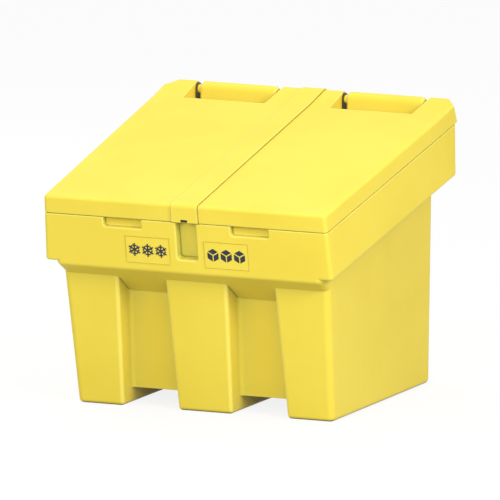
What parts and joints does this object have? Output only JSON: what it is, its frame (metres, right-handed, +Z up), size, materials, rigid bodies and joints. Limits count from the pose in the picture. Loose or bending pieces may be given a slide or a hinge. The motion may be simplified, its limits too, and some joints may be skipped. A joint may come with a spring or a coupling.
{
  "type": "grit salt bin",
  "caption": "Grit and salt bin with a sloping mouth, hinged lids with hand pulls and a lock recess, and fork channels under a ribbed front",
  "frame": {"origin": "on the floor, in the middle of the bin's outline seen from above", "axes": "+Z up, the front with the labels faces -Y, +X is the right side seen from the front"},
  "size_m": [1.0584, 1.0635, 0.9385],
  "materials": {
    "moulded_body": "satin",
    "moulded_lid": "satin",
    "hinge_pin": "gloss",
    "pin_cap": "satin",
    "label_film": "gloss"
  },
  "bodies": {
    "bin": {"bin_body": "moulded_body", "left_hinge_pin": "hinge_pin", "right_hinge_pin": "hinge_pin", "left_pin_caps": "pin_cap", "right_pin_caps": "pin_cap", "left_label": "label_film", "right_label": "label_film"},
    "left_lid": {"left_lid": "moulded_lid"},
    "right_lid": {"right_lid": "moulded_lid"}
  },
  "joints": [
    {"name": "left_lid_hinge", "type": "hinge", "parent": "bin", "child": "left_lid", "pos_m": [0, 0.5035, 0.9095], "axis": [-1, 0, 0], "range_deg": [0, 110]},
    {"name": "right_lid_hinge", "type": "hinge", "parent": "bin", "child": "right_lid", "pos_m": [0, 0.5035, 0.9095], "axis": [-1, 0, 0], "range_deg": [0, 110]}
  ]
}
